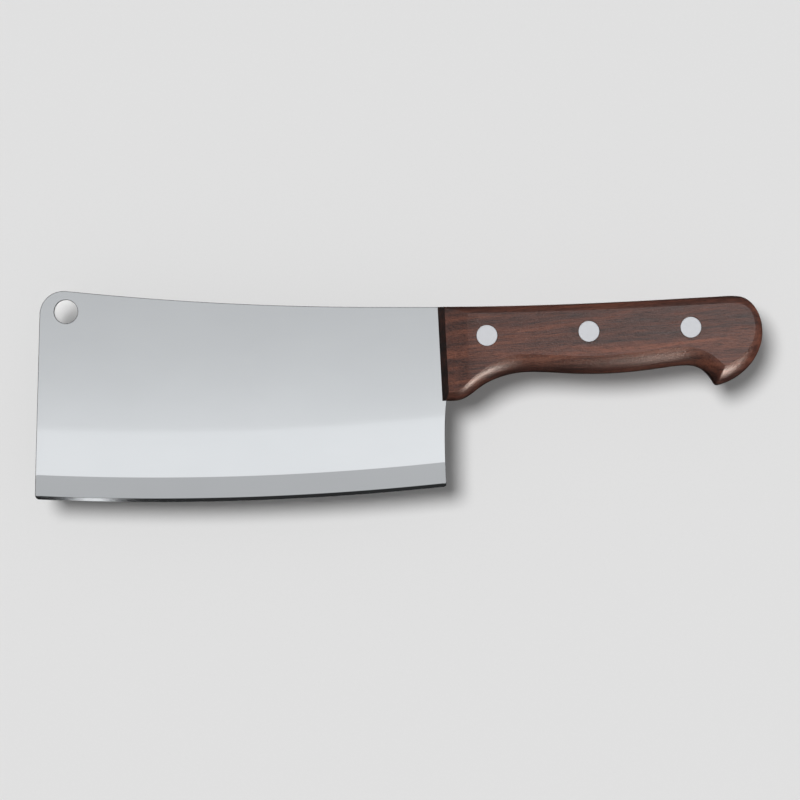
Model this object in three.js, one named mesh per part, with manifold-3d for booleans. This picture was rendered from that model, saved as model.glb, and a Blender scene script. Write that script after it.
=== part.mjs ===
// A butcher's meat cleaver: one ground steel plate that is both blade and full tang, two wooden
// scales that cover the tang, and three two-piece rivets that clamp them together.
//
// Millimetres. X runs from the blade's front edge to the butt of the handle, Y across the
// thickness, and Z from the cutting edge up to the spine. Outlines are drawn in the XZ plane with
// x counted from the front edge, and the group moves them so that the origin lies under the
// middle of the cleaver at the height of the cutting edge. Left and right are the user's.

import * as THREE from "three";
import { mergeVertices } from "three/addons/utils/BufferGeometryUtils.js";
import Module from "manifold-3d";

const wasm = await Module();
wasm.setup();

const { degToRad } = THREE.MathUtils;

// The whole cleaver
const LENGTH = 325.4;
const PLATE = 3; // thickness of the blade and tang
const SCALE = 8.55; // thickness of each wooden scale
const GLUE_LINE = 0.05; // between the tang and each scale

// The blade's outline: two shallow arcs, given by their centres, joined by rounded corners
const SPINE_Z = 87.3; // height of the straight spine beside the handle
const SPINE = { x: 152.8, z: SPINE_Z + 1358, radius: 1358 };
const EDGE = { x: 53.8, z: 1231, radius: 1231 };
const FRONT_LEAN = degToRad(1.5);
const TIP_CORNER = { x: 12.9, radius: 10.75 };
const TOE_CORNER = { x: 2, radius: 2 };
const HEEL_X = 184.3;
const HEEL_CORNER = { x: HEEL_X - 1.4, radius: 1.4 };
const HEEL_HOLLOW = { x: 183, z: 34 }; // how the heel is scooped where it runs up to the tang
const HANG_HOLE = { x: 13.9, z: 85.2, radius: 5.3 };

// The blade's section: height above the cutting edge, and half thickness there
const CUTTING_EDGE = { half: 0.08, height: 0 };
const MICRO_BEVEL = { half: 0.44, height: 1.6 };
const BEVEL = { half: 1.15, height: 11 };
const GRIND_TOP = { half: PLATE / 2 + 0.02, height: 37 }; // the convex grind runs out just below

// The front end of the scales: it slopes in plan, then in section has a steep nose and a ramp
const FRONT_TOP = { x: 180.3, z: SPINE_Z };
const FRONT_FOOT = { x: 182.5, z: 45.3 };
const NOSE_LENGTH = 3;
const RAMP_LENGTH = 10;
const RAMP_DROP = 1.25; // how much thinner the scale is at the front of the ramp

// The outline of the handle, as runs of Bezier curves from below the front end, along the grip,
// round the hooked butt and back along the spine: where the scale meets the tang, and round its
// flat outer face. The side stands straight from the tang for a height that goes from the first
// wall to the second along the run, then rounds over.
const HANDLE = [
  {
    // the swelling behind the heel
    steps: 20,
    walls: [1.5, 1.5],
    tang: [
      [[178, 45.3], [187.5, 45.3]],
      [[187.5, 45.3], [191.8, 45.3], [194.6, 47.8], [198.8, 51]],
      [[198.8, 51], [203.9, 54.9], [212.5, 58.3], [222.7, 58.3]],
    ],
    face: [
      [[178, 52], [186.5, 52]],
      [[186.5, 52], [190.5, 52], [192.5, 52.8], [195.5, 55.2]],
      [[195.5, 55.2], [201, 60], [209.5, 66.2], [218.2, 66.2]],
    ],
  },
  {
    // the belly of the grip
    steps: 14,
    walls: [1.5, 1.5],
    tang: [
      [[222.7, 58.3], [230.7, 58.3], [238, 57.4], [247.7, 57.4]],
      [[247.7, 57.4], [270, 57.2], [284, 61.3], [292, 61.2]],
    ],
    face: [
      [[218.2, 66.2], [226, 66.2], [236, 65.3], [245, 65.3]],
      [[245, 65.3], [265, 65.3], [283, 69.5], [290, 69.4]],
    ],
  },
  {
    // the notch in front of the hook
    steps: 8,
    walls: [1.5, 1.5],
    tang: [[[292, 61.2], [298.5, 61.2], [301, 57.9], [304.3, 52.8]]],
    face: [[[290, 69.4], [297.5, 69.4], [303.5, 66.3], [307.9, 61.4]]],
  },
  {
    // the point of the hook
    steps: 3,
    walls: [1.5, 1.5],
    tang: [[[304.3, 52.8], [304.9, 52.1], [306.2, 52.5]]],
    face: [[[307.9, 61.4], [308.3, 60.9], [308.8, 61.2]]],
  },
  {
    // the lower half of the butt
    steps: 10,
    walls: [1.5, 4],
    tang: [[[306.2, 52.5], [316, 55.2], [325.4, 64.5], [325.4, 76]]],
    face: [[[308.8, 61.2], [315.5, 64.5], [321.9, 69.5], [321.9, 77.5]]],
  },
  {
    // the upper half of the butt
    steps: 10,
    walls: [4, 5.5],
    tang: [[[325.4, 76], [325.4, 84.5], [320.5, 92.1], [313.5, 92.1]]],
    face: [[[321.9, 77.5], [321.9, 84.5], [319, 88.9], [312.5, 88.9]]],
  },
  {
    // the spine side
    steps: 12,
    walls: [5.5, 5.5],
    tang: [[[313.5, 92.1], [298.5, 92.1], [246, 87.3], [177, 87.3]]],
    face: [[[312.5, 88.9], [298.5, 88.7], [248, 84.4], [177, 84.4]]],
  },
];
const ROUNDING_TURN = degToRad(70); // the rounded side meets the outer face at a crisp 20 degrees

// Rivets: each is a sleeve half and a pin half, pressed together inside the handle
const RIVETS = { front: -1, middle: 0, rear: 1 };
const RIVET_PITCH = 45.5;
const RIVET_LINE_TILT = degToRad(2.3);
const MIDDLE_RIVET = { x: 247.7, z: 76.3 };
const RIVET_HEAD = { radius: 4.7, depth: 2 };
const SLEEVE_RADIUS = 3;
const PIN_RADIUS = 2;
const PIN_TIP_SPACE = 1.2; // left free in the bottom of the sleeve
const PIN_TIP_CHAMFER = 0.4;
const PIN_FIT = 0.03;
const WOOD_FIT = 0.05;
const TANG_FIT = 0.25;
const ROUND_SEGMENTS = 40;

const MATERIALS = {
  steel: new THREE.MeshStandardMaterial({ color: 0xc3c8ca, roughness: 0.28, metalness: 1 }),
  wood: new THREE.MeshStandardMaterial({ color: 0x69483e, roughness: 0.45, metalness: 0 }),
  rivet: new THREE.MeshStandardMaterial({ color: 0xd9dbe0, roughness: 0.35, metalness: 1 }),
};

// A three.js geometry becomes a manifold solid only to be joined or cut
function solidOf(geometry) {
  const bare = geometry.clone();
  bare.deleteAttribute("normal");
  bare.deleteAttribute("uv");
  const merged = mergeVertices(bare);
  const mesh = new wasm.Mesh({
    numProp: 3,
    vertProperties: merged.getAttribute("position").array,
    triVerts: new Uint32Array(merged.index.array),
  });
  return new wasm.Manifold(mesh);
}

function geometryOf(solid) {
  const mesh = solid.getMesh();
  const geometry = new THREE.BufferGeometry();
  geometry.setAttribute("position", new THREE.BufferAttribute(mesh.vertProperties, 3));
  geometry.setIndex(new THREE.BufferAttribute(mesh.triVerts, 1));
  return geometry;
}

// A flat-shaded named sub-part, in its place in the whole cleaver
function subPart(name, geometry, material) {
  const flat = geometry.toNonIndexed();
  flat.computeVertexNormals();
  const mesh = new THREE.Mesh(flat, material.clone());
  mesh.name = name;
  return mesh;
}

// The centre of a corner whose x and radius are known, from the arc it touches: inside the arc's
// circle for the cutting edge, and outside it for the spine
function cornerOn(arc, corner, inside) {
  const distance = arc.radius + (inside ? -corner.radius : corner.radius);
  const z = arc.z - Math.sqrt(distance ** 2 - (corner.x - arc.x) ** 2);
  return { ...corner, z };
}

const bearing = (from, to) => Math.atan2(to.z - from.z, to.x - from.x);

function arcTo(path, circle, startAngle, endAngle, clockwise = false) {
  path.absarc(circle.x, circle.z, circle.radius, startAngle, endAngle, clockwise);
}

function circleHole(circle) {
  const hole = new THREE.Path();
  arcTo(hole, circle, 0, 2 * Math.PI, true);
  return hole;
}

function rivetCentre(place) {
  const along = place * RIVET_PITCH;
  return {
    x: MIDDLE_RIVET.x + along * Math.cos(RIVET_LINE_TILT),
    z: MIDDLE_RIVET.z + along * Math.sin(RIVET_LINE_TILT),
  };
}

// One curve of a handle run: a line, or a Bezier curve with one or two control points
function curveOf(points) {
  const corners = points.map((point) => new THREE.Vector2(...point));
  if (corners.length === 2) return new THREE.LineCurve(...corners);
  if (corners.length === 3) return new THREE.QuadraticBezierCurve(...corners);
  return new THREE.CubicBezierCurve(...corners);
}

function pathOf(curves) {
  const path = new THREE.CurvePath();
  curves.forEach((points) => path.add(curveOf(points)));
  return path;
}

const HANDLE_PATHS = HANDLE.map((run) => ({
  ...run,
  tang: pathOf(run.tang),
  face: pathOf(run.face),
}));

// How far in from the tang's outline towards the outer face's outline the side has rounded over,
// from 0 to 1, at a height above the tang
function roundedOver(height, wall) {
  const climb = Math.max(0, (height - wall) / (SCALE - wall));
  const turned = Math.asin(climb * Math.sin(ROUNDING_TURN));
  return (1 - Math.cos(turned)) / (1 - Math.cos(ROUNDING_TURN));
}

// A point at a fraction along a run of the handle's outline, at a height above the tang
function outlinePoint(run, fraction, height) {
  const wall = THREE.MathUtils.lerp(...run.walls, fraction);
  const tang = run.tang.getPoint(fraction);
  return tang.lerp(run.face.getPoint(fraction), roundedOver(height, wall));
}

// How far behind the scale's front line a point is, at a height above the tang
function behindFront(point, height) {
  const rampFoot = SCALE - RAMP_DROP;
  const onNose = NOSE_LENGTH * Math.min(1, height / rampFoot);
  const onRamp = RAMP_LENGTH * Math.max(0, (height - rampFoot) / RAMP_DROP);
  const slope = (FRONT_TOP.x - FRONT_FOOT.x) / (FRONT_TOP.z - FRONT_FOOT.z);
  return point.x - (FRONT_FOOT.x + slope * (point.y - FRONT_FOOT.z)) - onNose - onRamp;
}

// The fraction along a run at which it crosses the scale's front line
function frontCrossing(run, height) {
  const HALVINGS = 30;
  const startsInFront = behindFront(outlinePoint(run, 0, height), height) < 0;
  let [low, high] = [0, 1];
  for (let i = 0; i < HALVINGS; i++) {
    const middle = (low + high) / 2;
    const inFront = behindFront(outlinePoint(run, middle, height), height) < 0;
    if (inFront === startsInFront) low = middle;
    else high = middle;
  }
  return low;
}

// The scale's outline at a height above the tang, anticlockwise from the foot of its front end
function handleRing(height) {
  const last = HANDLE_PATHS.length - 1;
  return HANDLE_PATHS.flatMap((run, index) => {
    const start = index === 0 ? frontCrossing(run, height) : 0;
    const end = index === last ? frontCrossing(run, height) : 1;
    const count = index === last ? run.steps + 1 : run.steps;
    return Array.from({ length: count }, (_, step) =>
      outlinePoint(run, start + ((end - start) * step) / run.steps, height),
    );
  });
}

// Where the outline of the tang takes over from that of the blade, just clear of the scales
function tangBoundary() {
  const CLEAR = 0.3;
  return {
    heel: [HEEL_X, FRONT_FOOT.z - CLEAR],
    foot: [FRONT_FOOT.x - CLEAR, FRONT_FOOT.z - CLEAR],
    top: [FRONT_TOP.x - CLEAR, FRONT_TOP.z],
  };
}

// Forward along the spine, down the front, back along the edge and up the heel
function bladeShape() {
  const shape = new THREE.Shape();
  const tip = cornerOn(SPINE, TIP_CORNER, false);
  const toe = cornerOn(EDGE, TOE_CORNER, true);
  const heel = cornerOn(EDGE, HEEL_CORNER, true);
  const boundary = tangBoundary();
  arcTo(shape, SPINE, -Math.PI / 2, bearing(SPINE, tip), true);
  arcTo(shape, tip, bearing(tip, SPINE), Math.PI - FRONT_LEAN);
  arcTo(shape, toe, Math.PI - FRONT_LEAN, bearing(EDGE, toe));
  arcTo(shape, EDGE, bearing(EDGE, toe), bearing(EDGE, heel));
  arcTo(shape, heel, bearing(EDGE, heel), 0);
  shape.quadraticCurveTo(HEEL_HOLLOW.x, HEEL_HOLLOW.z, ...boundary.heel);
  shape.lineTo(...boundary.foot);
  shape.lineTo(...boundary.top);
  shape.closePath();
  shape.holes = [circleHole(HANG_HOLE)];
  return shape;
}

// Flush with the scales all the way round
function tangShape() {
  const shape = new THREE.Shape();
  const boundary = tangBoundary();
  shape.moveTo(...boundary.foot);
  shape.lineTo(...boundary.heel);
  handleRing(0)
    .filter((point) => point.x > HEEL_X)
    .forEach((point) => shape.lineTo(point.x, point.y));
  shape.lineTo(...boundary.top);
  shape.closePath();
  shape.holes = Object.values(RIVETS).map((place) =>
    circleHole({ ...rivetCentre(place), radius: SLEEVE_RADIUS + TANG_FIT }),
  );
  return shape;
}

function plate(shape) {
  const geometry = new THREE.ExtrudeGeometry(shape, {
    depth: PLATE,
    bevelEnabled: false,
    curveSegments: 12,
  });
  geometry.translate(0, 0, -PLATE / 2);
  geometry.rotateX(Math.PI / 2);
  return solidOf(geometry);
}

// The blade's section, wider than the plate above the grind so that only the grind cuts it. It is
// drawn upside down, because along the grind's path its +Y points towards the edge.
function groundSection() {
  const TOP = 130;
  const RUN_OUT_CONTROL = 25; // height above the edge of the convex grind's control point
  const half = new THREE.Path();
  half.moveTo(CUTTING_EDGE.half, -CUTTING_EDGE.height);
  half.lineTo(MICRO_BEVEL.half, -MICRO_BEVEL.height);
  half.lineTo(BEVEL.half, -BEVEL.height);
  half.quadraticCurveTo(PLATE / 2, -RUN_OUT_CONTROL, GRIND_TOP.half, -GRIND_TOP.height);
  half.lineTo(PLATE, -TOP);
  const right = half.getPoints(5);
  const left = right.map((point) => new THREE.Vector2(-point.x, point.y)).reverse();
  return new THREE.Shape([...right, ...left]);
}

// The line the grind follows from in front of the blade back: the edge, then level below the tang
class GrindPath extends THREE.Curve {
  getPoint(fraction, target = new THREE.Vector3()) {
    const OVERRUN = 6;
    const x = THREE.MathUtils.lerp(-OVERRUN, LENGTH + OVERRUN, fraction);
    const onEdge = Math.min(x, HEEL_X + OVERRUN);
    const z = EDGE.z - Math.sqrt(EDGE.radius ** 2 - (onEdge - EDGE.x) ** 2);
    return target.set(x, 0, z);
  }
}

function bladeAndTang() {
  const ground = new THREE.ExtrudeGeometry(groundSection(), {
    steps: 48,
    extrudePath: new GrindPath(),
  });
  return geometryOf(plate(bladeShape()).add(plate(tangShape())).intersect(solidOf(ground)));
}

// One wooden scale before drilling: rings of its outline stacked out from the tang
function scaleBlank(side) {
  const heights = [0, 1.5, 2.3, 3.2, 4.2, 5.5, 6.3, SCALE - RAMP_DROP, 7.9, 8.3, SCALE];
  const rings = heights.map(handleRing);
  const count = rings[0].length;
  const inner = side * (PLATE / 2 + GLUE_LINE);
  const positions = rings.flatMap((ring, layer) =>
    ring.flatMap((point) => [point.x, inner + side * heights[layer], point.y]),
  );
  const triangles = [];
  for (let layer = 1; layer < rings.length; layer++) {
    for (let i = 0; i < count; i++) {
      const next = (i + 1) % count;
      const [low, high] = [(layer - 1) * count, layer * count];
      triangles.push([low + i, high + i, low + next], [low + next, high + i, high + next]);
    }
  }
  const top = (rings.length - 1) * count;
  THREE.ShapeUtils.triangulateShape(rings[0], []).forEach((t) => triangles.push(t));
  THREE.ShapeUtils.triangulateShape(rings[rings.length - 1], []).forEach(([a, b, c]) =>
    triangles.push([top + a, top + c, top + b]),
  );
  const outward = side > 0 ? triangles : triangles.map(([a, b, c]) => [a, c, b]);
  const geometry = new THREE.BufferGeometry();
  geometry.setAttribute("position", new THREE.Float32BufferAttribute(positions, 3));
  geometry.setIndex(outward.flat());
  return geometry;
}

function drill(radius, fromY, toY, centre) {
  const tool = new THREE.CylinderGeometry(radius, radius, Math.abs(toY - fromY), ROUND_SEGMENTS);
  tool.translate(centre.x, (fromY + toY) / 2, centre.z);
  return solidOf(tool);
}

function scale(side) {
  const OVERSHOOT = 1;
  const outer = PLATE / 2 + GLUE_LINE + SCALE;
  const headSeat = outer - RIVET_HEAD.depth - WOOD_FIT;
  const cuts = Object.values(RIVETS).map((place) => {
    const centre = rivetCentre(place);
    const bore = drill(SLEEVE_RADIUS + WOOD_FIT, 0, side * (outer + OVERSHOOT), centre);
    const seatRadius = RIVET_HEAD.radius + WOOD_FIT;
    return bore.add(drill(seatRadius, side * headSeat, side * (outer + OVERSHOOT), centre));
  });
  return geometryOf(cuts.reduce((wood, cut) => wood.subtract(cut), solidOf(scaleBlank(side))));
}

// The profile is radius against distance from the middle plane out towards the head
function turnedHalf(profile, side, centre) {
  const points = profile.map(([radius, y]) => new THREE.Vector2(radius, side * y));
  if (side < 0) points.reverse();
  const geometry = new THREE.LatheGeometry(points, ROUND_SEGMENTS);
  geometry.translate(centre.x, 0, centre.z);
  return geometryOf(solidOf(geometry));
}

function rivetSleeve(side, centre) {
  const face = PLATE / 2 + GLUE_LINE + SCALE;
  const shoulder = face - RIVET_HEAD.depth;
  const mouth = WOOD_FIT - shoulder;
  const bore = PIN_RADIUS + PIN_FIT;
  const profile = [
    [0, shoulder],
    [bore, shoulder],
    [bore, mouth],
    [SLEEVE_RADIUS, mouth],
    [SLEEVE_RADIUS, shoulder],
    [RIVET_HEAD.radius, shoulder],
    [RIVET_HEAD.radius, face],
    [0, face],
  ];
  return turnedHalf(profile, side, centre);
}

function rivetPin(side, centre) {
  const face = PLATE / 2 + GLUE_LINE + SCALE;
  const shoulder = face - RIVET_HEAD.depth;
  const tip = PIN_TIP_SPACE - shoulder;
  const profile = [
    [0, tip],
    [PIN_RADIUS - PIN_TIP_CHAMFER, tip],
    [PIN_RADIUS, tip + PIN_TIP_CHAMFER],
    [PIN_RADIUS, shoulder],
    [RIVET_HEAD.radius, shoulder],
    [RIVET_HEAD.radius, face],
    [0, face],
  ];
  return turnedHalf(profile, side, centre);
}

const LEFT = -1;
const RIGHT = 1;

const group = new THREE.Group();
group.name = "meat_cleaver";
group.add(
  subPart("blade_and_tang", bladeAndTang(), MATERIALS.steel),
  subPart("left_scale", scale(LEFT), MATERIALS.wood),
  subPart("right_scale", scale(RIGHT), MATERIALS.wood),
);
Object.entries(RIVETS).forEach(([name, place]) => {
  const centre = rivetCentre(place);
  group.add(
    subPart(`${name}_rivet_sleeve`, rivetSleeve(LEFT, centre), MATERIALS.rivet),
    subPart(`${name}_rivet_pin`, rivetPin(RIGHT, centre), MATERIALS.rivet),
  );
});
group.position.x = -LENGTH / 2;

export default group;
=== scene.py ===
"""A butcher's meat cleaver with a ground steel blade, wooden scales and three flush rivets.

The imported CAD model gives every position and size. The pieces here replace its nodes with finer
meshes of the same shape: outlines and sections are read off the CAD mesh and drawn smoothly.
Metres, in the CAD's frame: X runs from the blade to the handle, Y is the thickness, Z is up from
the cutting edge, and the camera looks along +Y.
"""

import math

import bmesh
import bpy
import numpy as np
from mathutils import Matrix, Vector
from mathutils.geometry import delaunay_2d_cdt


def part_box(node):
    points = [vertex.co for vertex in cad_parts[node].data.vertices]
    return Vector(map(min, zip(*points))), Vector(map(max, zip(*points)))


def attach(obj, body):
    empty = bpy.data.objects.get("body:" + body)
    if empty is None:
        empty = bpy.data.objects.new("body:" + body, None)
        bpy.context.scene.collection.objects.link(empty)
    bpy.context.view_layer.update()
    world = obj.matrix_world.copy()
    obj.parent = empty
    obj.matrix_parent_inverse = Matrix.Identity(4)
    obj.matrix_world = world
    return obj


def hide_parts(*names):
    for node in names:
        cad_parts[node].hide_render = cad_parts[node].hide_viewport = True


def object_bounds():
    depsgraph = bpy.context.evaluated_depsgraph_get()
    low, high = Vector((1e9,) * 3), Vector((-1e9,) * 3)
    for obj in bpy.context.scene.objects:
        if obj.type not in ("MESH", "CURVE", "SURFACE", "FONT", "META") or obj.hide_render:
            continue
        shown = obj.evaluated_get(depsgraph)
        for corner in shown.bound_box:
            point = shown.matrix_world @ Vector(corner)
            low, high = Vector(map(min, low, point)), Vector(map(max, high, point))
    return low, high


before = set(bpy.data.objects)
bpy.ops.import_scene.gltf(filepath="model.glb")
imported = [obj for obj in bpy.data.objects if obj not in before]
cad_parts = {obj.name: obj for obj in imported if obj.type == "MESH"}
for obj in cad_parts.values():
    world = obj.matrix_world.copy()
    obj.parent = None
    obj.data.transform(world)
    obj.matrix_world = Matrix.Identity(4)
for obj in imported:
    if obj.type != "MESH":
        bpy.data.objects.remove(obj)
cad_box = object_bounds()

MM = 0.001
WELD = 0.001 * MM  # CAD corners closer than this are one point
LEVEL = 0.01 * MM  # distances from the middle plane closer than this are one level
SHARP_EDGE = math.radians(35)  # an edge of a piece that turns more than this is rounded


# Curves


def flowing_slopes(before, after, wide_before, wide_after):
    """Slopes at the inner knots of a curve that bends evenly."""
    return (before * wide_after + after * wide_before) / (wide_before + wide_after)


def firm_slopes(before, after, wide_before, wide_after):
    """Slopes at the inner knots of a curve that never swings past its points."""
    total = before + after
    safe = np.where(total == 0, 1, total)
    return np.where(before * after > 0, 2 * before * after / safe, 0)


def straight_slopes(before, after, wide_before, wide_after):
    """Slopes at the inner knots of a curve whose long spans stay straight."""
    return (before * wide_before + after * wide_after) / (wide_before + wide_after)


def smooth(knots, values, fine, slopes, sharp=None):
    """Values at the fine knots, on a cubic curve through the values, with corners where sharp."""
    shape = values.shape[1:]
    values = values.reshape(len(knots), -1)
    wide = np.diff(knots)[:, None]
    chords = np.diff(values, axis=0) / wide
    inner = slopes(chords[:-1], chords[1:], wide[:-1], wide[1:])
    leaving = np.vstack([chords[:1], inner])
    arriving = np.vstack([inner, chords[-1:]])
    if sharp is not None:
        leaving[sharp[:-1]] = chords[sharp[:-1]]
        arriving[sharp[1:]] = chords[sharp[1:]]
    span = np.clip(np.searchsorted(knots, fine, side="right") - 1, 0, len(wide) - 1)
    width = wide[span]
    t = ((fine - knots[span]) / width[:, 0])[:, None]
    start, end = values[span], values[span + 1]
    curve = start * (2 * t**3 - 3 * t**2 + 1) + end * (3 * t**2 - 2 * t**3)
    curve += width * (leaving[span] * (t**3 - 2 * t**2 + t) + arriving[span] * (t**3 - t**2))
    return curve.reshape(len(fine), *shape)


def subdivided(knots, parts):
    """The knots with each gap cut into equal parts."""
    places = np.arange((len(knots) - 1) * parts + 1) / parts
    return np.interp(places, np.arange(len(knots)), knots)


def chord_lengths(points):
    """How far along its chords each point of an open line is."""
    return np.concatenate([[0], np.cumsum(np.linalg.norm(np.diff(points, axis=0), axis=1))])


# Reading the CAD mesh


def welded(cad_node):
    """A CAD node's mesh as a bmesh, with its corners joined."""
    mesh = bmesh.new()
    mesh.from_mesh(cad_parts[cad_node].data)
    bmesh.ops.remove_doubles(mesh, verts=mesh.verts, dist=WELD)
    mesh.normal_update()
    return mesh


def extent(points):
    """The longest side of the box round some points."""
    return np.ptp(points, axis=0).max()


def closed_loops(edges):
    """The closed loops that edges make, each as an array of points in order."""
    near = {}
    for edge in edges:
        first, second = edge.verts
        near.setdefault(first, []).append(second)
        near.setdefault(second, []).append(first)
    loops = []
    while near:
        start = next(iter(near))
        loop = [start]
        here = near.pop(start)[0]
        while here in near:
            loop.append(here)
            here = next((v for v in near.pop(here) if v in near), start)
        loops.append(np.array([v.co for v in loop], float))
    return sorted(loops, key=extent, reverse=True)


def level_of(vertex):
    """A point's distance from the middle plane, counted in levels."""
    return round(abs(vertex.co.y) / LEVEL)


def is_flat(face):
    """Whether a face is parallel to the middle plane."""
    return len({level_of(v) for v in face.verts}) == 1


def level_loops(mesh):
    """For each height above the middle plane where the mesh has points: its closed outlines."""
    by_level = {}
    for edge in mesh.edges:
        first, second = (level_of(v) for v in edge.verts)
        if first == second and sum(is_flat(f) for f in edge.link_faces) < 2:
            by_level.setdefault(first, []).append(edge)
    return {level * LEVEL: closed_loops(by_level[level]) for level in sorted(by_level)}


def from_the_foot(loop):
    """A scale's outline in (x, z), from the foot of its front end along the grip."""
    points = loop[:, [0, 2]]
    points = np.roll(points, -int(np.argmin(points.sum(axis=1))), axis=0)
    if points[1, 1] > points[-1, 1]:
        points = np.roll(points[::-1], 1, axis=0)
    return points


# Meshes


def new_piece(name, mesh, cad_node, material):
    """A mesh becomes a piece of the cleaver that stands for a CAD node."""
    piece = bpy.data.objects.new(name, mesh)
    bpy.context.scene.collection.objects.link(piece)
    mesh.materials.append(material)
    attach(piece, "root")
    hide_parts(cad_node)
    return piece


def round_edges(piece, width):
    """Sharp edges get a narrow rounding that catches the light."""
    bevel = piece.modifiers.new("edge_rounding", "BEVEL")
    bevel.width = width
    bevel.segments = 3
    bevel.limit_method = "ANGLE"
    bevel.angle_limit = SHARP_EDGE
    bevel.harden_normals = True


def smooth_mesh(name, mesh, crease):
    """A finished bmesh as a smoothly shaded mesh, which stays sharp where it turns past crease."""
    bmesh.ops.recalc_face_normals(mesh, faces=mesh.faces)
    data = bpy.data.meshes.new(name)
    mesh.to_mesh(data)
    data.shade_smooth()
    data.set_sharp_from_angle(angle=crease)
    return data


def circle(centre, radius, segments):
    """Points evenly round a circle, anticlockwise from its right."""
    angles = np.arange(segments) * 2 * math.pi / segments
    return np.array(centre) + radius * np.column_stack([np.cos(angles), np.sin(angles)])


def ring_faces(first, second):
    """Quads between two closed rings of the same number of points."""
    return [
        (first[i - 1], first[i], second[i], second[i - 1])
        for i in range(len(first))
    ]


def add_ring(mesh, points, y):
    """New points of a bmesh at a distance y from the middle plane, from points in (x, z)."""
    return [mesh.verts.new((x, y, z)) for x, z in points]


def bridge(mesh, rings):
    """Each ring of a bmesh's points is joined to the next."""
    for first, second in zip(rings, rings[1:]):
        for corners in ring_faces(first, second):
            mesh.faces.new(corners)


# Wooden scales


ALONG = 5  # fine points for each CAD point along a scale's outline
ACROSS = 3  # fine rows for each CAD row up a scale's side
FRONT_PART = 35 * MM  # how far behind the front end the outline's points still shift with it
FRONT_COLUMNS = 36  # across the front end of a scale
LONGEST_BORE = 20 * MM  # a longer loop in a scale is its outline
BORE_SEGMENTS = 72
BORE_ROUNDING = 0.12 * MM
ON_THE_ROUND = 0.3  # of a rounding, how far its middle point stands in from the sharp corner
SCALE_CREASE = math.radians(13)
SCALE_EDGE = 0.22 * MM  # how far the sharp edges of the wood are rounded


def along_x(points, x):
    """z at each x along a line of points that runs along X, carried on straight past its end."""
    if points[0, 0] > points[-1, 0]:
        points = points[::-1]
    slope = (points[1, 1] - points[0, 1]) / (points[1, 0] - points[0, 0])
    z = np.interp(x, points[:, 0], points[:, 1])
    return np.where(x < points[0, 0], points[0, 1] + slope * (x - points[0, 0]), z)


def straighten_front(surface, fine_heights, heights, rings):
    """Near the front end, points keep their share of the way back while the end slopes away."""
    front_x = np.interp(fine_heights, heights, rings[:, 0, 0])
    count = int(np.argmax(rings[0, :, 0] > rings[0, 0, 0] + FRONT_PART))
    inner = rings[0, : count + 1, 0]
    shares = (inner - inner[0]) / (inner[-1] - inner[0])
    x = front_x[:, None] + (surface[:, count, 0] - front_x)[:, None] * shares
    for row, height in enumerate(fine_heights):
        z = np.array([along_x(ring[: 2 * count], x[row]) for ring in rings])
        surface[row, : count + 1, 0] = x[row]
        surface[row, : count + 1, 1] = smooth(heights, z, np.array([height]), firm_slopes)[0]


def scale_surface(cad_node):
    """Heights above the middle plane, and a closed ring of (x, z) points at each."""
    outlines = {
        height: from_the_foot(loops[0])
        for height, loops in level_loops(welded(cad_node)).items()
        if extent(loops[0]) > LONGEST_BORE
    }
    heights = np.array(list(outlines))
    rings = []
    for ring in outlines.values():
        knots = chord_lengths(ring)
        rings.append(smooth(knots, ring, subdivided(knots, ALONG), flowing_slopes))
    rings = np.array(rings)
    fine = subdivided(heights, ACROSS)
    surface = smooth(heights, rings, fine, firm_slopes)
    straighten_front(surface, fine, heights, rings)
    straighten_front(surface[:, ::-1], fine, heights, rings[:, ::-1])
    shares = np.linspace(0, 1, FRONT_COLUMNS + 1)[1:-1, None]
    front = surface[:, -1:] + (surface[:, :1] - surface[:, -1:]) * shares
    return fine, np.concatenate([surface, front], axis=1)


def bores(cad_node):
    """The holes in a scale's inner face and in its outer face, and the height of their seats.

    Each hole is its centre and radius.
    """
    loops = level_loops(welded(cad_node))
    heights = list(loops)
    found = []
    for height in (heights[0], heights[-1]):
        holes = [loop[:, [0, 2]] for loop in loops[height][1:]]
        centres = [tuple((hole.max(axis=0) + hole.min(axis=0)) / 2) for hole in holes]
        radii = [np.ptp(hole[:, 0]) / 2 for hole in holes]
        found.append(sorted(zip(centres, radii)))
    seat = next(height for height in heights if extent(loops[height][0]) < LONGEST_BORE)
    return found[0], found[1], seat


def fill(mesh, rings):
    """A flat face between an outline and its holes."""
    edges = []
    for ring in rings:
        for i in range(len(ring)):
            pair = (ring[i - 1], ring[i])
            edges.append(mesh.edges.get(pair) or mesh.edges.new(pair))
    bmesh.ops.triangle_fill(mesh, edges=edges, use_beauty=True)


def add_bore(mesh, inner, outer, seat, ends, side):
    """The stepped hole for one rivet half, and its rims in the inner and outer faces."""
    (centre, bore_radius), (_, seat_radius) = inner, outer
    inner_face, outer_face = ends
    cut = BORE_ROUNDING * ON_THE_ROUND
    profile = [
        (bore_radius, inner_face),
        (bore_radius, seat),
        (seat_radius, seat),
        (seat_radius, outer_face - BORE_ROUNDING),
        (seat_radius + cut, outer_face - cut),
        (seat_radius + BORE_ROUNDING, outer_face),
    ]
    rings = [
        add_ring(mesh, circle(centre, radius, BORE_SEGMENTS), side * height)
        for radius, height in profile
    ]
    bridge(mesh, rings)
    return rings[0], rings[-1]


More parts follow.
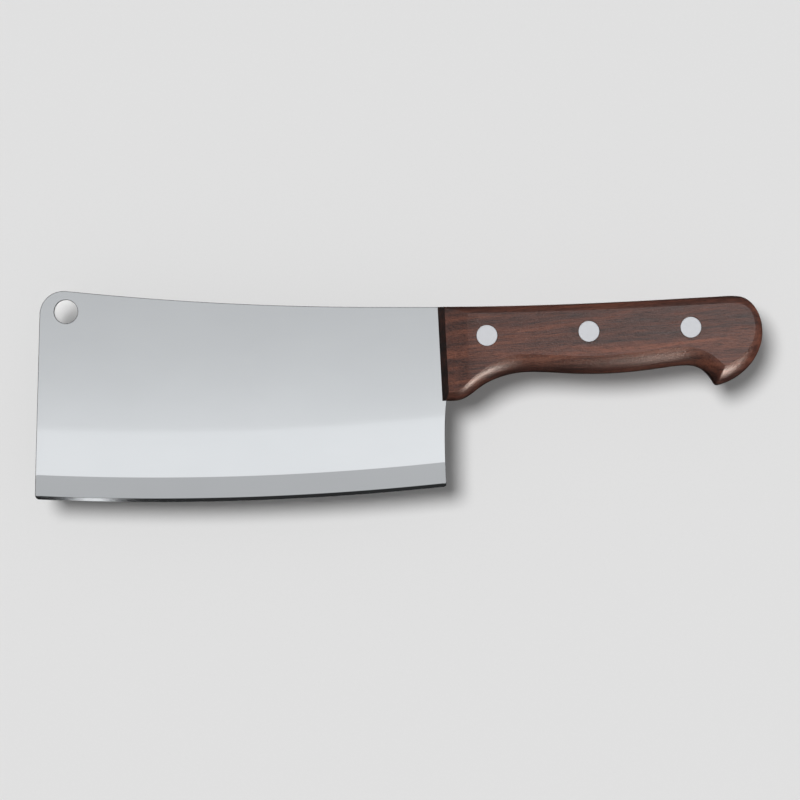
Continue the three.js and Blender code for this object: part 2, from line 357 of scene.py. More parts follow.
def build_scale(cad_node, side, material):
    """One scale: its rounded side, sloped front end, flat faces and stepped rivet holes."""
    heights, surface = scale_surface(cad_node)
    inner, outer, seat = bores(cad_node)
    mesh = bmesh.new()
    rings = [add_ring(mesh, points, side * height) for height, points in zip(heights, surface)]
    bridge(mesh, rings)
    ends = (heights[0], heights[-1])
    holes = [
        add_bore(mesh, bore, counterbore, seat, ends, side)
        for bore, counterbore in zip(inner, outer)
    ]
    fill(mesh, [rings[0]] + [hole[0] for hole in holes])
    fill(mesh, [rings[-1]] + [hole[1] for hole in holes])
    name = cad_node + "_wood"
    data = smooth_mesh(name, mesh, SCALE_CREASE)
    piece = new_piece(name, data, cad_node, material)
    round_edges(piece, SCALE_EDGE)
    return piece


# Blade


OUTLINE_STEP = 0.7 * MM
CORNER = math.radians(25)  # an outline that turns more than this at a point has a corner there
STRAIGHT = math.radians(0.05)  # and a point where it turns less than this isn't needed
STEEP = 0.5  # a face whose normal has less of Y than this belongs to the rim
RIM_ROUNDING = 0.25 * MM
RIM_SHARE = 0.8  # of the half thickness: the most that the rim's rounding takes
RIM_STEPS = 4
ROW_LEVEL = 0.1 * MM  # heights above the cutting edge closer than this are one row of the grind
RUN_OUT = 34 * MM  # above the cutting edge, where the grind meets the flat of the plate
FAR_ABOVE = 200 * MM  # more than the plate's height
CREASE = 0.1 * MM  # half the width over which a crease between two ground faces turns
ROW_STEP = 1.3 * MM  # between rows of points on the curved part of the grind
COLUMN_STEP = 1.2 * MM
SAME_POINT = 0.0001 * MM  # points of the side sheet closer than this are joined
MIRROR = np.array([1, -1, 1])  # to the other side of the middle plane


def side_loops(mesh):
    """The outline of the blade and tang on the -Y side, and its holes, in (x, z)."""
    edges = []
    for edge in mesh.edges:
        steep = sum(abs(face.normal.y) < STEEP for face in edge.link_faces)
        if steep == 1 and edge.verts[0].co.y < 0:
            edges.append(edge)
    return [loop[:, [0, 2]] for loop in closed_loops(edges)]


def turns(points):
    """How far a closed line turns at each of its points, left turns positive."""
    before = points - np.roll(points, 1, axis=0)
    after = np.roll(points, -1, axis=0) - points
    cross = before[:, 0] * after[:, 1] - before[:, 1] * after[:, 0]
    return np.arctan2(cross, (before * after).sum(axis=1))


def with_material_on_left(points, is_hole):
    """The outline or hole, run round so that the steel is on its left."""
    anticlockwise = turns(points).sum() > 0
    return points[::-1] if anticlockwise == is_hole else points


def drawn_smoothly(points):
    """A closed outline through the points: corners stay sharp, long straight spans straight."""
    while (abs(turns(points)) < STRAIGHT).any():
        points = np.delete(points, int(np.argmin(abs(turns(points)))), axis=0)
    sharp = abs(turns(points)) > CORNER
    count = len(points)
    around = np.arange(-2, count + 3) % count
    wrapped = points[around]
    knots = chord_lengths(wrapped)
    fine = []
    for start, end in zip(knots[2:], knots[3 : count + 3]):
        parts = max(1, math.ceil((end - start) / OUTLINE_STEP))
        fine.append(np.linspace(start, end, parts, endpoint=False))
    return smooth(knots, wrapped, np.concatenate(fine), straight_slopes, sharp[around])


def into_material(points):
    """Unit vectors from each point of an outline straight into the steel."""
    along = np.roll(points, -1, axis=0) - np.roll(points, 1, axis=0)
    left = np.column_stack([-along[:, 1], along[:, 0]])
    return left / np.linalg.norm(left, axis=1)[:, None]


def fitted_circle(points):
    """The centre and radius of the circle that lies nearest to some points."""
    terms = np.column_stack([2 * points, np.ones(len(points))])
    fit = np.linalg.lstsq(terms, (points**2).sum(axis=1), rcond=None)[0]
    return fit[:2], math.sqrt(fit[2] + (fit[:2] ** 2).sum())


class Grind:
    """The blade's half thickness and its slope, by height above the curved cutting edge.

    The section is read off the -Y side of the CAD mesh, along the middle of the blade, clear of
    its corners and its hole.
    """

    def __init__(self, mesh):
        corners = np.array([tuple(v.co) for v in mesh.verts])
        x, y = corners[:, 0], corners[:, 1]
        half_plate = y.max()
        edge = corners[abs(y) < abs(y).min() + LEVEL][:, [0, 2]]
        self.centre, self.radius = fitted_circle(edge)
        middle = corners[(x > edge[:, 0].min() / 2) & (x < 0) & (y < 0)]
        heights, halves = self.height(middle[:, [0, 2]]), -middle[:, 1]
        ground = halves < half_plate - LEVEL / 10
        levels = {round(h / ROW_LEVEL): half for h, half in zip(heights[ground], halves[ground])}
        levels = dict(sorted(levels.items()))
        self.knots = np.array([level * ROW_LEVEL for level in levels] + [RUN_OUT, FAR_ABOVE])
        self.halves = np.array(list(levels.values()) + [half_plate, half_plate])
        self.creases = self.knots[1:3]
        self.sharp = np.isin(self.knots, self.creases)

    def height(self, points):
        """How far above the cutting edge points in (x, z) are."""
        return self.radius - np.linalg.norm(points - self.centre, axis=1)

    def half(self, heights):
        """Half the blade's thickness at each height above the cutting edge."""
        return smooth(self.knots, self.halves, np.maximum(heights, 0), firm_slopes, self.sharp)

    def normals(self, points):
        """Unit normals of the -Y side."""
        heights = self.height(points)
        slope = (self.half(heights + CREASE / 2) - self.half(heights - CREASE / 2)) / CREASE
        up = (self.centre - points) / np.linalg.norm(self.centre - points, axis=1)[:, None]
        steep = -slope[:, None] * up
        normals = np.column_stack([steep[:, 0], -np.ones(len(points)), steep[:, 1]])
        return normals / np.linalg.norm(normals, axis=1)[:, None]


def inside(points, loops):
    """Which points lie inside the outline and outside its holes."""
    crossings = np.zeros(len(points), int)
    x, z = points[:, :1], points[:, 1:]
    for loop in loops:
        start, end = loop, np.roll(loop, -1, axis=0)
        spans = (start[:, 1] > z) != (end[:, 1] > z)
        rise = np.where(start[:, 1] == end[:, 1], 1, end[:, 1] - start[:, 1])
        crossing_x = start[:, 0] + (z - start[:, 1]) * (end[:, 0] - start[:, 0]) / rise
        crossings += (spans & (crossing_x > x)).sum(axis=1)
    return crossings % 2 == 1


def ground_rows(grind, loops):
    """Rows of points along the ground part of the blade, close together at its creases."""
    outline = loops[0]
    front = outline[:, 0].min()
    heel = outline[outline[:, 1] < RUN_OUT, 0].max()
    x = np.arange(front, heel, COLUMN_STEP)
    above = np.arange(grind.creases[1] + ROW_STEP, RUN_OUT + ROW_STEP, ROW_STEP)
    heights = np.concatenate([grind.creases - CREASE, grind.creases + CREASE, above])
    rows = []
    for height in np.sort(heights):
        reach = grind.radius - height
        z = grind.centre[1] - np.sqrt(reach**2 - (x - grind.centre[0]) ** 2)
        row = np.column_stack([x, z])
        row = row[inside(row, loops)]
        gaps = np.linalg.norm(row[:, None] - np.concatenate(loops)[None], axis=2).min(axis=1)
        rows.append(row[gaps > OUTLINE_STEP / 2])
    return rows


def side_sheet(loops, rows):
    """Points and triangles that cover the blade's side, and where each given point ended up.

    The last is a lookup from a point's place in the loops, then the rows, to its new number.
    """
    points, edges = [], []
    for line, closed in [(loop, True) for loop in loops] + [(row, False) for row in rows]:
        first = len(points)
        points.extend(line)
        edges.extend((first + i, first + i + 1) for i in range(len(line) - 1))
        if closed:
            edges.append((first + len(line) - 1, first))
    made = delaunay_2d_cdt([Vector(p) for p in points], edges, [], 0, SAME_POINT)
    placed, _, triangles, origins = made[:4]
    number = {source: index for index, sources in enumerate(origins) for source in sources}
    placed = np.array([tuple(p) for p in placed])
    triangles = np.array(triangles)
    middles = placed[triangles].mean(axis=1)
    return placed, triangles[inside(middles, loops)], number


class Rim:
    """The rounded rim along one outline of the blade, between its two side sheets."""

    def __init__(self, outline, grind):
        self.inward = into_material(outline)
        half = grind.half(grind.height(outline))
        self.rounding = np.minimum(RIM_ROUNDING, RIM_SHARE * half)[:, None]
        self.inset = outline + self.inward * self.rounding

    def rings(self, half, face_normals):
        """Points and normals of each ring between the side sheets, from -Y to +Y."""
        outward = np.column_stack([-self.inward[:, 0], np.zeros(len(half)), -self.inward[:, 1]])
        near = []
        for step in range(1, RIM_STEPS + 1):
            angle = math.pi / 2 * step / RIM_STEPS
            x, z = (self.inset - self.inward * self.rounding * math.sin(angle)).T
            y = self.rounding[:, 0] * (1 - math.cos(angle)) - half
            blend = face_normals * math.cos(angle) + outward * math.sin(angle)
            normals = blend / np.linalg.norm(blend, axis=1)[:, None]
            near.append((np.column_stack([x, y, z]), normals))
        return near + [(points * MIRROR, normals * MIRROR) for points, normals in near[::-1]]


def blade_surface(grind, rims):
    """Points, exact normals and faces of the whole blade: two side sheets and the rims."""
    insets = [rim.inset for rim in rims]
    placed, triangles, number = side_sheet(insets, ground_rows(grind, insets))
    halves = grind.half(grind.height(placed))
    side_normals = grind.normals(placed)
    side = np.column_stack([placed[:, 0], -halves, placed[:, 1]])
    points, normals = [side, side * MIRROR], [side_normals, side_normals * MIRROR]
    count = len(placed)
    faces = [tuple(t) for t in triangles] + [tuple(t[::-1] + count) for t in triangles]
    first, total = 0, 2 * count
    for rim in rims:
        size = len(rim.inset)
        near = np.array([number[first + i] for i in range(size)])
        rings = [near]
        for ring_points, ring_normals in rim.rings(halves[near], side_normals[near]):
            points.append(ring_points)
            normals.append(ring_normals)
            rings.append(total + np.arange(size))
            total += size
        rings.append(near + count)
        for lower, upper in zip(rings, rings[1:]):
            faces.extend(ring_faces(upper.tolist(), lower.tolist()))
        first += size
    return np.concatenate(points), np.concatenate(normals), faces


def build_blade(cad_node, material):
    """The blade and tang: two ground sides and a rounded rim, shaded with exact normals."""
    mesh = welded(cad_node)
    grind = Grind(mesh)
    rims = []
    for index, loop in enumerate(side_loops(mesh)):
        outline = drawn_smoothly(with_material_on_left(loop, is_hole=index > 0))
        rims.append(Rim(outline, grind))
    points, normals, faces = blade_surface(grind, rims)
    data = bpy.data.meshes.new("blade")
    data.from_pydata(points.tolist(), [], faces)
    data.shade_smooth()
    data.normals_split_custom_set_from_vertices(normals.tolist())
    above_edge = data.attributes.new("above_edge", "FLOAT", "POINT")
    heights = grind.height(points[:, [0, 2]])
    above_edge.data.foreach_set("value", heights.astype(np.float32))
    return new_piece("blade_steel", data, cad_node, material)


# Rivets


RIVET_SEGMENTS = 96
RIVET_CREASE = math.radians(30)
RIVET_EDGE = 0.16 * MM  # how far the rivets' sharp edges are rounded


def turned_profile(cad_node):
    """A rivet half's axis in (x, z), and its profile as (radius, y).

    The profile runs from the middle of the head to the end of the shank. It is read off the CAD
    points that lie straight to the right of the axis.
    """
    low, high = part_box(cad_node)
    axis_x, axis_z = (low.x + high.x) / 2, (low.z + high.z) / 2
    mesh = welded(cad_node)
    cut = {v for v in mesh.verts if abs(v.co.z - axis_z) < LEVEL and v.co.x > axis_x - LEVEL}
    near = {v: [e.other_vert(v) for e in v.link_edges if e.other_vert(v) in cut] for v in cut}
    outer_y = max((low.y, high.y), key=abs)
    start = min(cut, key=lambda v: (v.co.x - axis_x) + abs(v.co.y - outer_y))
    profile, here, seen = [], start, set()
    while here is not None:
        seen.add(here)
        profile.append((max(0, here.co.x - axis_x), here.co.y))
        here = next((v for v in near[here] if v not in seen), None)
    return (axis_x, axis_z), profile


def build_rivet_half(cad_node, material):
    """One half of a rivet, turned about its axis, with a fine rounding round its head."""
    (axis_x, axis_z), profile = turned_profile(cad_node)
    mesh = bmesh.new()
    rings = [
        add_ring(mesh, circle((axis_x, axis_z), radius, RIVET_SEGMENTS), y)
        for radius, y in profile[1:-1]
    ]
    bridge(mesh, rings)
    for ring, (_, y) in ((rings[0], profile[0]), (rings[-1], profile[-1])):
        middle = mesh.verts.new((axis_x, y, axis_z))
        for i in range(len(ring)):
            mesh.faces.new((ring[i - 1], ring[i], middle))
    name = cad_node + "_metal"
    data = smooth_mesh(name, mesh, RIVET_CREASE)
    piece = new_piece(name, data, cad_node, material)
    round_edges(piece, RIVET_EDGE)
    return piece


# Materials


def node(tree, kind, inputs=None, **settings):
    """A new shader node. An input is given a value, or the output of another node."""
    made = tree.nodes.new(kind)
    for name, value in settings.items():
        setattr(made, name, value)
    for name, value in (inputs or {}).items():
        if isinstance(value, bpy.types.NodeSocket):
            tree.links.new(value, made.inputs[name])
        else:
            made.inputs[name].default_value = value
    return made


def math_node(tree, operation, *values):
    """A sum on one, two or three values."""
    return node(tree, "ShaderNodeMath", dict(enumerate(values)), operation=operation).outputs[0]


def mixed(tree, share, first, second):
    """The first value where the share is 0, and the second where it is 1."""
    return node(tree, "ShaderNodeMix", {0: share, 2: first, 3: second}).outputs[0]


def scaled(tree, colour, factor):
    """A colour made brighter or darker by a factor."""
    inputs = {0: colour, "Scale": factor}
    return node(tree, "ShaderNodeVectorMath", inputs, operation="SCALE").outputs[0]


def weighted_sum(tree, parts):
    """The sum of some values, each times its weight."""
    total = 0.0
    for value, weight in parts:
        total = math_node(tree, "MULTIPLY_ADD", value, weight, total)
    return total


def ramp(tree, value, stops):
    """A colour ramp with (position, colour) stops; a colour may be one grey number."""
    made = node(tree, "ShaderNodeValToRGB", {"Fac": value})
    elements = made.color_ramp.elements
    while len(elements) < len(stops):
        elements.new(0.5)
    for element, (position, colour) in zip(elements, stops):
        element.position = position
        grey = isinstance(colour, (int, float))
        element.color = (colour, colour, colour, 1) if grey else (*colour, 1)
    return made.outputs["Color"]


def stretched_noise(tree, place, stretch, detail, offset=0.0):
    """Noise whose grains are drawn out: stretch gives the grains per metre along X, Y and Z."""
    inputs = {"Vector": place, "Location": (offset, offset, offset), "Scale": stretch}
    mapped = node(tree, "ShaderNodeMapping", inputs).outputs[0]
    inputs = {"Vector": mapped, "Scale": 1.0, "Detail": detail, "Roughness": 0.55}
    return node(tree, "ShaderNodeTexNoise", inputs).outputs["Fac"]


def bumped(tree, height, strength, depth):
    """A surface's direction, unsettled by a height map that is depth deep."""
    inputs = {"Strength": strength, "Distance": depth, "Height": height}
    return node(tree, "ShaderNodeBump", inputs).outputs[0]


def new_material(name):
    """An empty node material and its tree, output node and object coordinates."""
    material = bpy.data.materials.new(name)
    material.use_nodes = True
    tree = material.node_tree
    tree.nodes.clear()
    output = tree.nodes.new("ShaderNodeOutputMaterial")
    place = tree.nodes.new("ShaderNodeTexCoord").outputs["Object"]
    return material, tree, output, place


def set_surface(tree, output, inputs):
    """The surface of a material, from the inputs of a Principled shader."""
    shader = node(tree, "ShaderNodeBsdfPrincipled", inputs).outputs[0]
    tree.links.new(shader, output.inputs["Surface"])


BEVEL_HEIGHT = 11 * MM  # of the ground bevel above the cutting edge
BEVEL_PAINTED_SHADE = 0.07  # painted shade: how much darker the bevel's colour is made, standing in for the darker reflection of its tilted face
HONED_HEIGHT = 1.6 * MM  # of the sharpened edge
HONED_SMOOTHNESS = 0.05  # how much less rough it is


def steel_material():
    """Satin-polished steel: a fine grain along the blade, grinding marks on the bevel, and painted
    shade that darkens the bevel.
    """
    material, tree, output, place = new_material("satin_steel")
    grain = stretched_noise(tree, place, (60, 500, 5200), detail=3)
    marks = stretched_noise(tree, place, (3800, 60, 90), detail=3)
    cloud = stretched_noise(tree, place, (18, 18, 30), detail=2)
    colour = ramp(tree, cloud, [(0.3, (0.595, 0.615, 0.635)), (0.7, (0.615, 0.635, 0.655))])
    above_edge = node(tree, "ShaderNodeAttribute", attribute_name="above_edge").outputs["Fac"]
    on_bevel = math_node(tree, "LESS_THAN", above_edge, BEVEL_HEIGHT)
    honed = math_node(tree, "LESS_THAN", above_edge, HONED_HEIGHT)
    scratches = mixed(tree, on_bevel, grain, marks)
    satin = ramp(tree, scratches, [(0.25, 0.085), (0.75, 0.11)])
    inputs = {
        # the bevel's base colour is darkened by a painted shade
        "Base Color": scaled(tree, colour, mixed(tree, on_bevel, 1.0, 1.0 - BEVEL_PAINTED_SHADE)),
        "Metallic": 1.0,
        "Roughness": math_node(tree, "MULTIPLY_ADD", honed, -HONED_SMOOTHNESS, satin),
        "Normal": bumped(tree, scratches, strength=0.02, depth=0.05 * MM),
    }
    set_surface(tree, output, inputs)
    return material


def rivet_material():
    """Pale satin aluminium with a faint speckle."""
    material, tree, output, place = new_material("satin_rivet")
    speckle = stretched_noise(tree, place, (2600, 2600, 2600), detail=2)
    shades = [(0.2, (0.885, 0.90, 0.94)), (0.8, (0.925, 0.94, 0.975))]
    inputs = {
        "Base Color": ramp(tree, speckle, shades),
        "Metallic": 1.0,
        "Roughness": ramp(tree, speckle, [(0.3, 0.30), (0.7, 0.40)]),
        "Normal": bumped(tree, speckle, strength=0.05, depth=0.02 * MM),
    }
    set_surface(tree, output, inputs)
    return material


GRAIN_TILT = math.radians(5)  # the grain climbs towards the butt
GRAIN_SWAY = 5 * MM  # and wanders by about this much
WOOD_COLOURS = [  # from the dark bands of the grain to the pale ones
    (0.38, (0.044, 0.021, 0.017)),
    (0.46, (0.086, 0.034, 0.025)),
    (0.53, (0.138, 0.050, 0.033)),
    (0.62, (0.215, 0.076, 0.046)),
]


def along_the_grain(tree, place, offset):
    """Coordinates whose X follows the tilted, gently swaying grain."""
    inputs = {"Vector": place, "Angle": GRAIN_TILT}
    turned = node(tree, "ShaderNodeVectorRotate", inputs, rotation_type="Y_AXIS").outputs[0]
    sway = stretched_noise(tree, turned, (22, 20, 45), detail=1, offset=offset)
    rise = math_node(tree, "MULTIPLY", sway, GRAIN_SWAY)
    shift = node(tree, "ShaderNodeCombineXYZ", {"Z": rise}).outputs[0]
    return node(tree, "ShaderNodeVectorMath", {0: turned, 1: shift}, operation="ADD").outputs[0]


def wood_material(name, offset):
    """Dark red-brown hardwood: bands, streaks and fibres along the grain, and short fine pores."""
    material, tree, output, place = new_material(name)
    grain = along_the_grain(tree, place, offset)
    bands = stretched_noise(tree, grain, (10, 150, 190), detail=2, offset=offset)
    streaks = stretched_noise(tree, grain, (26, 500, 560), detail=4, offset=offset)
    fibres = stretched_noise(tree, grain, (110, 2600, 2600), detail=3, offset=offset)
    pores = stretched_noise(tree, grain, (330, 5200, 5200), detail=1, offset=offset)
    dimples = stretched_noise(tree, grain, (900, 1700, 1700), detail=2, offset=offset)
    figure = weighted_sum(tree, [(bands, 0.42), (streaks, 0.33), (fibres, 0.25)])
    between_pores = ramp(tree, pores, [(0.32, 0.35), (0.46, 1.0)])
    height = weighted_sum(tree, [(between_pores, 0.9), (fibres, 0.9), (dimples, 8.0)])
    inputs = {
        "Base Color": scaled(tree, ramp(tree, figure, WOOD_COLOURS), between_pores),
        "Roughness": ramp(tree, streaks, [(0.3, 0.27), (0.7, 0.38)]),
        "Normal": bumped(tree, height, strength=0.3, depth=0.06 * MM),
        "Coat Weight": 0.15,
        "Coat Roughness": 0.2,
    }
    set_surface(tree, output, inputs)
    return material


# Camera and boards


FOCAL_LENGTH = 200  # millimetres, on a sensor 36 wide
SENSOR = 36
PICTURE_WIDTH = 358.4 * MM  # seen in the plane of the blade
PICTURE_CENTRE = Vector((0.8 * MM, 0, 45.7 * MM))
FACING = 0.97  # the least Y in the camera's direction for it to count as the photo's view

BOARD_GREY = 0.80
BOARD_REACH = 3.0  # metres each way
SURFACE_GAP = 20 * MM  # from the cleaver to the surface behind it, so that its shadow is soft
FLOOR_GAP = 0.4 * MM  # from the cutting edge down to the floor of the other views
BOARD_PAINTED_LIGHT = [  # painted light: metres from the cleaver, and how bright the board is painted there in reflections
    (0.05, 1.15),
    (0.25, 0.85),
    (0.6, 0.55),
    (1.0, 0.4),
]


def add_camera():
    """A camera square to the blade, at the far end of a long lens."""
    data = bpy.data.cameras.new("camera")
    data.lens = FOCAL_LENGTH
    data.sensor_width = SENSOR
    camera = bpy.data.objects.new("camera", data)
    distance = PICTURE_WIDTH * FOCAL_LENGTH / SENSOR
    camera.location = PICTURE_CENTRE - Vector((0, distance, 0))
    camera.rotation_euler = (math.pi / 2, 0, 0)
    bpy.context.scene.collection.objects.link(camera)
    bpy.context.scene.camera = camera
    return camera


def facing_share(tree):
    """1 when the camera looks nearly along +Y, as in the photo's view, and 0 in other views."""
    turned = node(
        tree,
        "ShaderNodeVectorTransform",
        {"Vector": (0, 1, 0)},
        vector_type="VECTOR",
        convert_from="WORLD",
        convert_to="CAMERA",
    )
    depth = node(tree, "ShaderNodeSeparateXYZ", {0: turned.outputs[0]}).outputs["Z"]
    return math_node(tree, "GREATER_THAN", depth, FACING)


def painted_light_in_reflections(tree, place):
    """1 to the eye; in the blade's reflections the board has a painted pool of light, bright near
    the cleaver and darker away from it.
    """
    distance = node(tree, "ShaderNodeVectorMath", {0: place}, operation="LENGTH").outputs["Value"]
    glossy = node(tree, "ShaderNodeLightPath").outputs["Is Glossy Ray"]
    return mixed(tree, glossy, 1.0, ramp(tree, distance, BOARD_PAINTED_LIGHT))


def board_material(name, shown_when_facing):
    """Plain pale board with a faint tooth, see-through in the views it isn't meant for."""
    material, tree, output, place = new_material(name)
    tooth = stretched_noise(tree, place, (900, 900, 900), detail=2)
    colour = ramp(tree, tooth, [(0.3, BOARD_GREY * 0.99), (0.7, BOARD_GREY)])
    inputs = {
        # the board's colour carries a painted pool of light round the cleaver, seen only in
        # reflections
        "Color": scaled(tree, colour, painted_light_in_reflections(tree, place)),
        "Normal": bumped(tree, tooth, strength=0.02, depth=0.02 * MM),
    }
    board = node(tree, "ShaderNodeBsdfDiffuse", inputs).outputs[0]
    clear = node(tree, "ShaderNodeBsdfTransparent").outputs[0]
    first, second = (clear, board) if shown_when_facing else (board, clear)
    inputs = {0: facing_share(tree), 1: first, 2: second}
    shader = node(tree, "ShaderNodeMixShader", inputs).outputs[0]
    tree.links.new(shader, output.inputs["Surface"])
    return material


def add_board(name, corners, material):
    """A large flat board that isn't part of the cleaver."""
    data = bpy.data.meshes.new(name)
    data.from_pydata(corners, [], [(0, 1, 2, 3)])
    data.materials.append(material)
    board = bpy.data.objects.new(name, data)
    bpy.context.scene.collection.objects.link(board)
    return board


def add_boards():
    """The pale surface behind the cleaver, and the floor it stands over in the other views."""
    reach = BOARD_REACH
    y = cad_box[1].y + SURFACE_GAP
    wall = [(-reach, y, -reach), (reach, y, -reach), (reach, y, reach), (-reach, y, reach)]
    surface = add_board("surface", wall, board_material("surface_board", True))
    surface.visible_glossy = False
    z = -FLOOR_GAP
    floor = [(-reach, -reach, z), (reach, -reach, z), (reach, reach, z), (-reach, reach, z)]
    return surface, add_board("floor", floor, board_material("floor_board", False))


# Surroundings


AMBIENT = 0.12
BACKDROP = 0.73  # behind everything, as the camera sees it
STUDIO_GLARE = 2.0  # the brightness that the two studio ramps take shares of
STUDIO_HEIGHTS = [  # degrees above the horizon, and the share there
    (-90, 0.01),
    (-24, 0.02),
    (-14, 0.317),
    (-8.5, 0.384),
    (-6, 0.62),
    (-2.2, 0.625),
    (-0.45, 0.62),
    (0.4, 0.385),
    (20, 0.38),
    (40, 0.06),
    (90, 0.04),
]
STUDIO_SIDES = [  # degrees to the right, and the share there
    (-90, 0.08),
    (-25, 0.10),
    (-7, 0.95),
    (12, 1.05),
    (30, 0.5),
    (90, 0.2),
]
ROOM_HEIGHTS = [  # degrees above the horizon, and the brightness there in the other views
    (-90, 0.30),
    (0, 0.40),
    (20, 0.60),
    (60, 0.90),
    (90, 0.90),
]
LAMP_TOWARDS = Vector((-0.0787, -0.89, -0.45)).normalized()  # what the honed edge glints at
LAMP_RADIUS = math.radians(0.42)
LAMP_STRENGTH = 2.1


def share_of_way(degrees):
    """Where an angle lies on a ramp that runs evenly from one pole to the other."""
    return (math.sin(math.radians(degrees)) + 1) / 2


def by_angle(tree, coordinate, stops):
    """Brightness graded by the angle that one coordinate of a unit direction stands for."""
    places = [(share_of_way(degrees), brightness) for degrees, brightness in stops]
    return ramp(tree, math_node(tree, "MULTIPLY_ADD", coordinate, 0.5, 0.5), places)


def lamp_glare(tree, direction):
    """A small bright lamp low in front of the toe, which only the honed edge faces."""
    inputs = {0: direction, 1: LAMP_TOWARDS}
    near = node(tree, "ShaderNodeVectorMath", inputs, operation="DOT_PRODUCT").outputs["Value"]
    lit = math_node(tree, "GREATER_THAN", near, math.cos(LAMP_RADIUS))
    return math_node(tree, "MULTIPLY", lit, LAMP_STRENGTH)


def studio_brightness(tree, direction):
    """What the cleaver mirrors: a graded studio in front of it, or a plain room in other views."""
    axes = node(tree, "ShaderNodeSeparateXYZ", {0: direction}).outputs
    by_height = by_angle(tree, axes["Z"], STUDIO_HEIGHTS)
    by_side = by_angle(tree, axes["X"], STUDIO_SIDES)
    graded = math_node(tree, "MULTIPLY", by_height, by_side)
    studio = math_node(tree, "MULTIPLY_ADD", graded, STUDIO_GLARE, lamp_glare(tree, direction))
    in_front = math_node(tree, "LESS_THAN", axes["Y"], 0.0)
    room = by_angle(tree, axes["Z"], ROOM_HEIGHTS)
    return mixed(tree, facing_share(tree), room, math_node(tree, "MULTIPLY", studio, in_front))


def add_world():
    """Pale all round for the camera, dim for lighting, and a studio in reflections."""
    world = bpy.data.worlds.new("studio")
    bpy.context.scene.world = world
    world.use_nodes = True
    tree = world.node_tree
    tree.nodes.clear()
    direction = node(tree, "ShaderNodeTexCoord").outputs["Generated"]
    path = node(tree, "ShaderNodeLightPath").outputs
    lit = mixed(tree, path["Is Glossy Ray"], AMBIENT, studio_brightness(tree, direction))
    strength = mixed(tree, path["Is Camera Ray"], lit, BACKDROP)
    background = node(tree, "ShaderNodeBackground", {"Color": (1, 1, 1, 1), "Strength": strength})
    output = node(tree, "ShaderNodeOutputWorld")
    tree.links.new(background.outputs[0], output.inputs["Surface"])


# Lights


HOLE_LIGHT_TOWARDS = Vector((0.055, -1.0, -0.055))
HOLE_LIGHT_SHIFT = Vector((-1.5 * MM, 0, 1.5 * MM))  # of its aim, from the middle of the hole
HOLE_LIGHT_RADIUS = 7.5 * MM  # of its patch of light, a metre away
HOLE_LIGHT_SIZE = 4 * MM  # of the lamp itself
HOLE_LIGHT_ENERGY = 5.5


def collection_of(name, objects):
    """A collection that lights can be aimed at."""
    collection = bpy.data.collections.new(name)
    for member in objects:
        collection.objects.link(member)
    return collection


def add_light(camera, name, kind, towards, receivers):
    """A light that travels with the camera, so that every view is lit alike."""
    light = bpy.data.objects.new(name, bpy.data.lights.new(name, kind))
    light.location = PICTURE_CENTRE + towards
    light.rotation_euler = towards.to_track_quat("Z", "Y").to_euler()
    bpy.context.scene.collection.objects.link(light)
    bpy.context.view_layer.update()
    light.parent = camera
    light.matrix_parent_inverse = camera.matrix_world.inverted()
    light.light_linking.receiver_collection = receivers
    return light


def add_sun(camera, name, towards, receivers, strength, spread):
    """A distant light, as wide in the sky as the spread."""
    light = add_light(camera, name, "SUN", Vector(towards), receivers)
    light.data.energy = strength
    light.data.angle = spread
    return light


def add_softbox(camera, name, towards, receivers, power, size):
    """A square area light."""
    light = add_light(camera, name, "AREA", Vector(towards), receivers)
    light.data.energy = power
    light.data.size = size
    return light


def light_boards(camera, surface, floor, pieces):
    """Soft shadows on both boards. On the surface the near scale casts none, to keep them light."""
    surfaces = collection_of("surfaces", [surface])
    floors = collection_of("floors", [floor])
    casting = [piece for piece in pieces if "left_scale" not in piece.name]
    key = add_sun(
        camera,
        "key",
        towards=(-0.24, -1.0, 0.212),
        receivers=surfaces,
        strength=2.36,
        spread=math.radians(19),
    )
    key.light_linking.blocker_collection = collection_of("casters", casting)
    shadeless = add_sun(camera, "fill", (0.0, -1.0, 0.0), surfaces, strength=0.33, spread=0.0)
    shadeless.data.use_shadow = False
    add_sun(
        camera,
        "floor_key",
        towards=(-0.5, -1.0, 1.2),
        receivers=floors,
        strength=2.9,
        spread=math.radians(30),
    )
    return surfaces


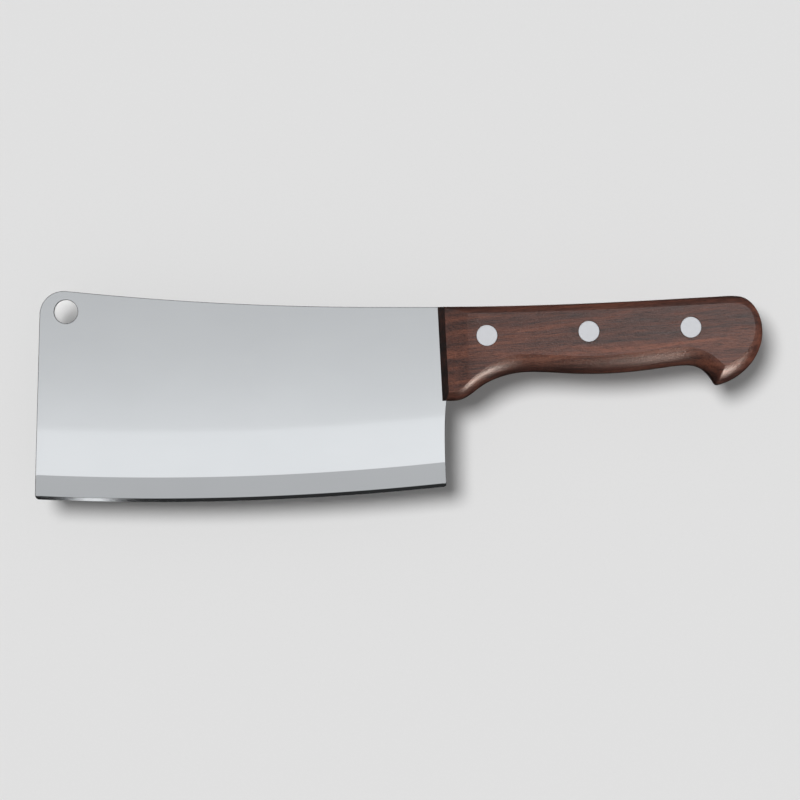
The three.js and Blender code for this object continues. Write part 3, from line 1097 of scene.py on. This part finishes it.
def light_cleaver(camera, pieces):
    """Broad light on all of it, and two highlights on the wood that the steel doesn't mirror."""
    cleaver = collection_of("cleaver", pieces)
    scales = collection_of("scales", [piece for piece in pieces if "scale" in piece.name])
    front = add_softbox(
        camera,
        "front_softbox",
        towards=(0.62, -1.0, 0.34),
        receivers=cleaver,
        power=11.7,
        size=0.6,
    )
    front.visible_glossy = False
    low = add_softbox(
        camera,
        "low_softbox",
        towards=(0.30, -0.30, -0.33),
        receivers=scales,
        power=2.1,
        size=0.13,
    )
    low.visible_diffuse = False
    low.data.color = (1.0, 0.82, 0.72)
    sheen = add_softbox(
        camera,
        "sheen_softbox",
        towards=(0.26, -1.0, 0.02),
        receivers=scales,
        power=0.6,
        size=0.3,
    )
    sheen.visible_diffuse = False


def light_through_hole(surfaces):
    """A narrow spot from low on the right that reaches the surface through the hanging hole."""
    hole = side_loops(welded("blade_and_tang"))[1]
    x, z = (hole.max(axis=0) + hole.min(axis=0)) / 2
    light = bpy.data.objects.new("hole_spot", bpy.data.lights.new("hole_spot", "SPOT"))
    light.location = Vector((x, 0, z)) + HOLE_LIGHT_SHIFT + HOLE_LIGHT_TOWARDS
    light.rotation_euler = HOLE_LIGHT_TOWARDS.to_track_quat("Z", "Y").to_euler()
    light.data.energy = HOLE_LIGHT_ENERGY
    light.data.shadow_soft_size = HOLE_LIGHT_SIZE
    light.data.spot_size = 2 * math.atan(HOLE_LIGHT_RADIUS)
    light.data.spot_blend = 1.0
    light.light_linking.receiver_collection = surfaces
    bpy.context.scene.collection.objects.link(light)


# Scene


def build_cleaver():
    """All nine pieces of the cleaver."""
    blade = build_blade("blade_and_tang", steel_material())
    left = build_scale("left_scale", -1, wood_material("left_wood", offset=0.0))
    right = build_scale("right_scale", 1, wood_material("right_wood", offset=3.7))
    metal = rivet_material()
    halves = [name for name in sorted(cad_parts) if "rivet" in name]
    return [blade, left, right, *(build_rivet_half(name, metal) for name in halves)]


def build_studio(pieces):
    """The camera, what surrounds the cleaver, and the lights."""
    camera = add_camera()
    surface, floor = add_boards()
    surfaces = light_boards(camera, surface, floor, pieces)
    light_cleaver(camera, pieces)
    light_through_hole(surfaces)
    add_world()
    bpy.context.scene.view_settings.view_transform = "Standard"


build_studio(build_cleaver())
